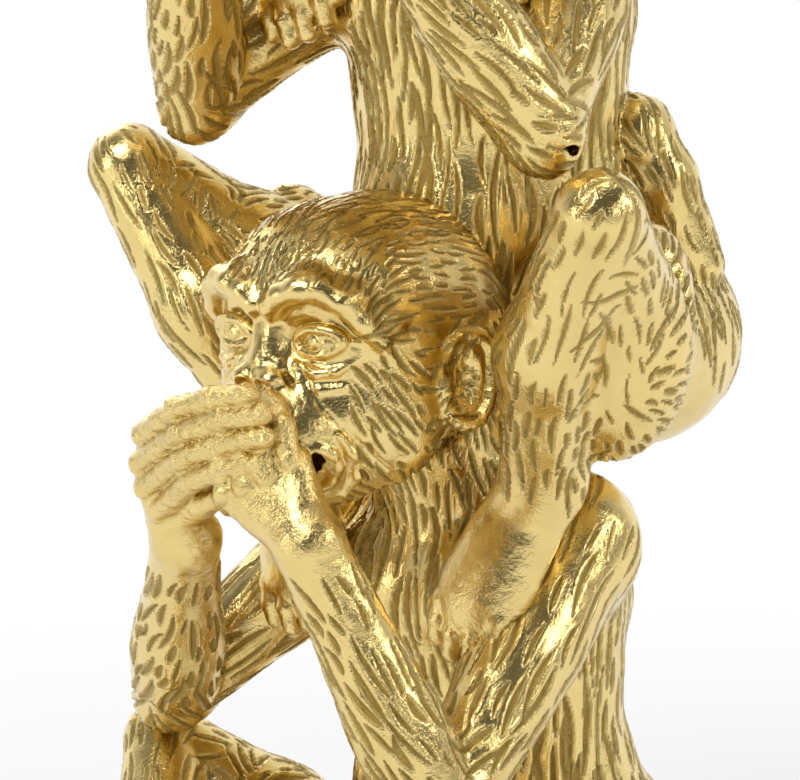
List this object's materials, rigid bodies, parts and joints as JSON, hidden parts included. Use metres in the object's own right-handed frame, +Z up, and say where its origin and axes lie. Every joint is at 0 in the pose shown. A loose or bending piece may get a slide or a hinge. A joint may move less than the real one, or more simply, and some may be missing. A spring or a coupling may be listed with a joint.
{
  "type": "monkey figurine",
  "caption": "Stack of seated monkeys in gilded cast resin, each on the shoulders of the one below, covering mouth, eyes and ears.",
  "frame": {"origin": "middle of the underside of the seat pad, below the lowest monkey's seat", "axes": "+Z up through the stacked seats, -Y the way the monkeys face, +X the monkeys' left"},
  "size_m": [0.1614, 0.1663, 0.4663],
  "materials": {
    "gilded_resin": "gold leaf look, polished ridges and granular grooves",
    "steel": "plain drawn rod",
    "felt": "self-adhesive felt"
  },
  "bodies": {
    "root": {"foot_pads": "felt", "low_head": "gilded_resin", "low_left_arm": "gilded_resin", "low_left_leg": "gilded_resin", "low_right_arm": "gilded_resin", "low_right_leg": "gilded_resin", "low_tail": "gilded_resin", "low_trunk": "gilded_resin", "middle_head": "gilded_resin", "middle_left_arm": "gilded_resin", "middle_left_leg": "gilded_resin", "middle_right_arm": "gilded_resin", "middle_right_leg": "gilded_resin", "middle_tail": "gilded_resin", "middle_trunk": "gilded_resin", "neck_dowels": "steel", "seat_pad": "felt", "shoulder_rods": "steel", "stack_dowel_1": "steel", "stack_dowel_2": "steel", "top_head": "gilded_resin", "top_left_arm": "gilded_resin", "top_left_leg": "gilded_resin", "top_right_arm": "gilded_resin", "top_right_leg": "gilded_resin", "top_tail": "gilded_resin", "top_trunk": "gilded_resin"}
  },
  "joints": []
}
